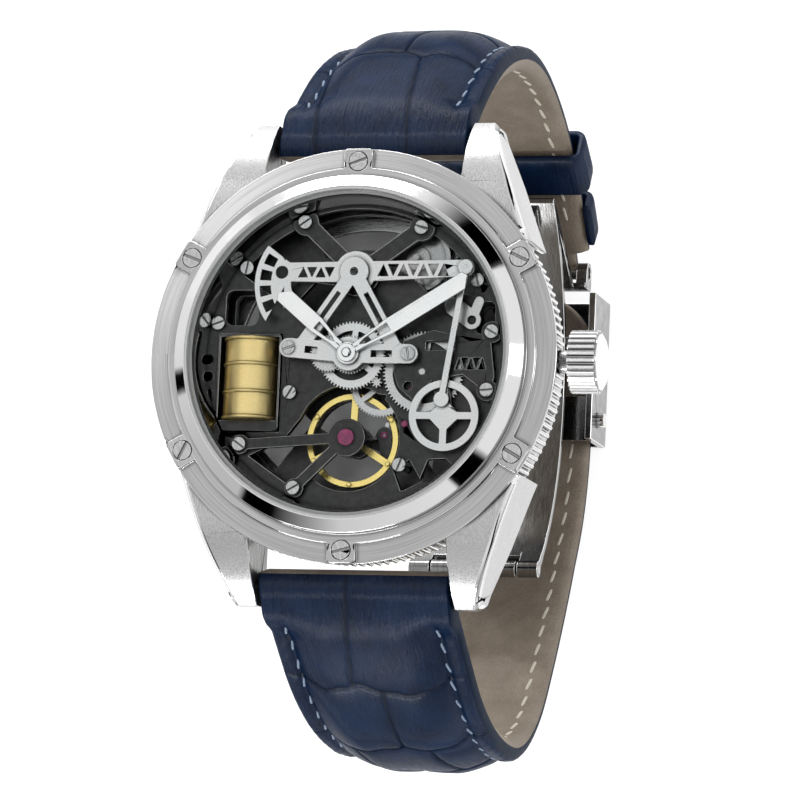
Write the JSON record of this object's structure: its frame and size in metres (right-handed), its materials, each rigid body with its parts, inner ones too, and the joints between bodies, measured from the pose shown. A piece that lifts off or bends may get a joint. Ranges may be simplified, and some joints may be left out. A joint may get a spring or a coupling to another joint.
{
  "type": "wristwatch",
  "caption": "Round skeleton wristwatch in steel with a pump-jack linkage under the crystal, a gilt oil drum and balance, a padded navy leather strap and a folding clasp.",
  "frame": {"origin": "centre of the case back's outer face", "axes": "+Z out of the crystal, +Y to 12 o'clock, +X to 3 o'clock and the crown"},
  "size_m": [0.0466, 0.0779, 0.0784],
  "materials": {
    "case_steel": "brushed",
    "polished_steel": "polished",
    "plate_grey": "dark grey plating with a fine grain",
    "bridge_steel": "straight grain with polished bevels",
    "gold": "brushed, gilt",
    "ruby": "polished synthetic ruby",
    "sapphire": "clear, polished",
    "seal": "matte",
    "clear_gasket": "translucent white",
    "blued": "tempered",
    "leather_navy": "embossed crocodile pattern, navy face, taupe lining, cream stitching"
  },
  "bodies": {
    "case": {"case_middle": "case_steel", "bezel": "case_steel", "bezel_screws": "polished_steel", "bezel_gasket": "seal", "crystal": "sapphire", "crystal_gasket": "clear_gasket", "rehaut": "plate_grey", "movement_ring": "bridge_steel", "main_plate": "plate_grey", "upper_plate": "plate_grey", "top_bridge": "plate_grey", "pump_bridge": "plate_grey", "front_bridge": "bridge_steel", "movement_screws": "polished_steel", "oil_drum": "gold", "drum_frame": "plate_grey", "balance_cock": "plate_grey", "pallet_bridge": "plate_grey", "jewels": "ruby", "hairspring": "blued", "setting_lever": "polished_steel", "crown_tube": "case_steel", "case_back": "case_steel", "case_back_crystal": "sapphire", "case_back_gasket": "seal", "spring_bars": "polished_steel"},
    "minute": {"minute_hand": "bridge_steel", "cannon_pinion": "bridge_steel"},
    "hour": {"hour_hand": "bridge_steel", "hour_wheel": "bridge_steel"},
    "minute_wheel": {"minute_wheel": "bridge_steel"},
    "centre": {"centre_wheel": "bridge_steel"},
    "third": {"third_wheel": "bridge_steel"},
    "fourth": {"fourth_wheel": "bridge_steel"},
    "escape": {"escape_wheel": "bridge_steel"},
    "pallet": {"pallet_fork": "bridge_steel"},
    "balance": {"balance_wheel": "gold"},
    "barrel": {"barrel": "plate_grey"},
    "intermediate": {"intermediate_wheel": "bridge_steel"},
    "crank": {"crank_wheel": "bridge_steel"},
    "pump_gear": {"pump_wheel": "bridge_steel"},
    "beam": {"walking_beam": "bridge_steel"},
    "rod": {"pump_rod": "bridge_steel"},
    "crown_slider": {"crown_seal": "seal"},
    "crown": {"crown": "polished_steel", "winding_stem": "polished_steel"},
    "strap_12": {"strap_12": "leather_navy", "keeper_fixed": "leather_navy", "clasp_spring_bar": "polished_steel"},
    "keeper_free": {"keeper_free": "leather_navy"},
    "clasp_base": {"clasp_blade_inner": "case_steel", "clasp_pin_inner": "polished_steel"},
    "clasp_middle": {"clasp_blade_middle": "case_steel"},
    "strap_6": {"strap_6": "leather_navy", "clasp_cover": "case_steel", "clasp_peg": "polished_steel", "clasp_pin_cover": "polished_steel"},
    "button_right": {"clasp_button_right": "polished_steel"},
    "button_left": {"clasp_button_left": "polished_steel"}
  },
  "joints": [
    {"name": "minute_hand_turn", "type": "hinge", "parent": "case", "child": "minute", "pos_m": [0, 0, 0.0102], "axis": [0, 0, 1], "continuous": true},
    {"name": "hour_hand_turn", "type": "hinge", "parent": "case", "child": "hour", "pos_m": [0, 0, 0.00985], "axis": [0, 0, 1], "continuous": true},
    {"name": "minute_wheel_turn", "type": "hinge", "parent": "case", "child": "minute_wheel", "pos_m": [-0.0024, 0.00008, 0.0085], "axis": [0, 0, 1], "continuous": true},
    {"name": "fourth_wheel_turn", "type": "hinge", "parent": "case", "child": "fourth", "pos_m": [0.00626, -0.00339, 0.005], "axis": [0, 0, 1], "continuous": true},
    {"name": "third_wheel_turn", "type": "hinge", "parent": "case", "child": "third", "pos_m": [0.00272, -0.00272, 0.0062], "axis": [0, 0, 1], "continuous": true},
    {"name": "centre_wheel_turn", "type": "hinge", "parent": "case", "child": "centre", "pos_m": [0, 0, 0.0081], "axis": [0, 0, 1], "continuous": true},
    {"name": "intermediate_wheel_turn", "type": "hinge", "parent": "case", "child": "intermediate", "pos_m": [0.00221, 0.00375, 0.0047], "axis": [0, 0, 1], "continuous": true},
    {"name": "barrel_turn", "type": "hinge", "parent": "case", "child": "barrel", "pos_m": [0.00601, 0.01021, 0.0047], "axis": [0, 0, 1], "continuous": true},
    {"name": "escape_wheel_turn", "type": "hinge", "parent": "case", "child": "escape", "pos_m": [0.00563, -0.0068, 0.0045], "axis": [0, 0, 1], "continuous": true},
    {"name": "pallet_swing", "type": "hinge", "parent": "case", "child": "pallet", "pos_m": [0.0029, -0.00765, 0.0045], "axis": [0, 0, 1], "range_deg": [-5, 5]},
    {"name": "balance_swing", "type": "hinge", "parent": "case", "child": "balance", "pos_m": [-0.00025, -0.0083, 0.0054], "axis": [0, 0, 1], "range_deg": [-270, 270], "stiffness_Nm_per_rad": 0.000001},
    {"name": "crank_turn", "type": "hinge", "parent": "case", "child": "crank", "pos_m": [0.00995, -0.00614, 0.0087], "axis": [0, 0, 1], "range_deg": [-90, 0]},
    {"name": "pump_wheel_turn", "type": "hinge", "parent": "case", "child": "pump_gear", "pos_m": [0.00742, -0.00164, 0.0077], "axis": [0, 0, 1], "range_deg": [0, 23.9]},
    {"name": "beam_rock", "type": "hinge", "parent": "case", "child": "beam", "pos_m": [0.0002, 0.0084, 0.0089], "axis": [0, 0, 1], "range_deg": [-6.3, 0]},
    {"name": "rod_swing", "type": "hinge", "parent": "beam", "child": "rod", "pos_m": [0.0117, 0.00885, 0.0093], "axis": [0, 0, 1], "range_deg": [0, 14.1]},
    {"name": "crown_pull", "type": "slide", "parent": "case", "child": "crown_slider", "axis": [1, 0, 0], "range_m": [0, 0.0012]},
    {"name": "crown_turn", "type": "hinge", "parent": "crown_slider", "child": "crown", "pos_m": [0.023, 0, 0.0045], "axis": [1, 0, 0], "continuous": true},
    {"name": "strap_6_swing", "type": "hinge", "parent": "case", "child": "strap_6", "pos_m": [0, -0.0228, 0.0026], "axis": [1, 0, 0], "range_deg": [-20, 0]},
    {"name": "strap_12_swing", "type": "hinge", "parent": "case", "child": "strap_12", "pos_m": [0, 0.0228, 0.0026], "axis": [1, 0, 0], "range_deg": [-12.1, 0]},
    {"name": "clasp_base_swing", "type": "hinge", "parent": "strap_12", "child": "clasp_base", "pos_m": [0, 0.0208, -0.0606], "axis": [1, 0, 0], "range_deg": [0, 6.1]},
    {"name": "clasp_fold", "type": "hinge", "parent": "clasp_base", "child": "clasp_middle", "pos_m": [0, -0.0156, -0.0466], "axis": [1, 0, 0], "range_deg": [-28.7, 0]},
    {"name": "keeper_slide", "type": "slide", "parent": "strap_12", "child": "keeper_free", "axis": [0, -0.541, -0.841], "range_m": [-0.0012, 0.0012]},
    {"name": "button_right_press", "type": "slide", "parent": "strap_6", "child": "button_right", "axis": [-1, 0, 0], "range_m": [0, 0.0005], "stiffness_N_per_m": 300, "springref_m": -0.0005},
    {"name": "button_left_press", "type": "slide", "parent": "strap_6", "child": "button_left", "axis": [1, 0, 0], "range_m": [0, 0.0005], "stiffness_N_per_m": 300, "springref_m": -0.0005}
  ],
  "couplings": [
    {"joint": "hour_hand_turn", "follows": "minute_hand_turn", "ratio": 0.083333},
    {"joint": "minute_wheel_turn", "follows": "minute_hand_turn", "ratio": -0.33333},
    {"joint": "third_wheel_turn", "follows": "fourth_wheel_turn", "ratio": -0.125},
    {"joint": "centre_wheel_turn", "follows": "fourth_wheel_turn", "ratio": 0.016667},
    {"joint": "intermediate_wheel_turn", "follows": "fourth_wheel_turn", "ratio": -0.0026667},
    {"joint": "barrel_turn", "follows": "fourth_wheel_turn", "ratio": 0.0026667},
    {"joint": "escape_wheel_turn", "follows": "fourth_wheel_turn", "ratio": -10},
    {"joint": "pump_wheel_turn", "follows": "crank_turn", "ratio": -0.26471},
    {"joint": "beam_rock", "follows": "crank_turn", "ratio": 0.0697},
    {"joint": "rod_swing", "follows": "crank_turn", "ratio": -0.1556},
    {"joint": "strap_12_swing", "follows": "strap_6_swing", "ratio": 0.6},
    {"joint": "clasp_base_swing", "follows": "strap_6_swing", "ratio": -0.303},
    {"joint": "clasp_fold", "follows": "strap_6_swing", "ratio": 1.432}
  ]
}
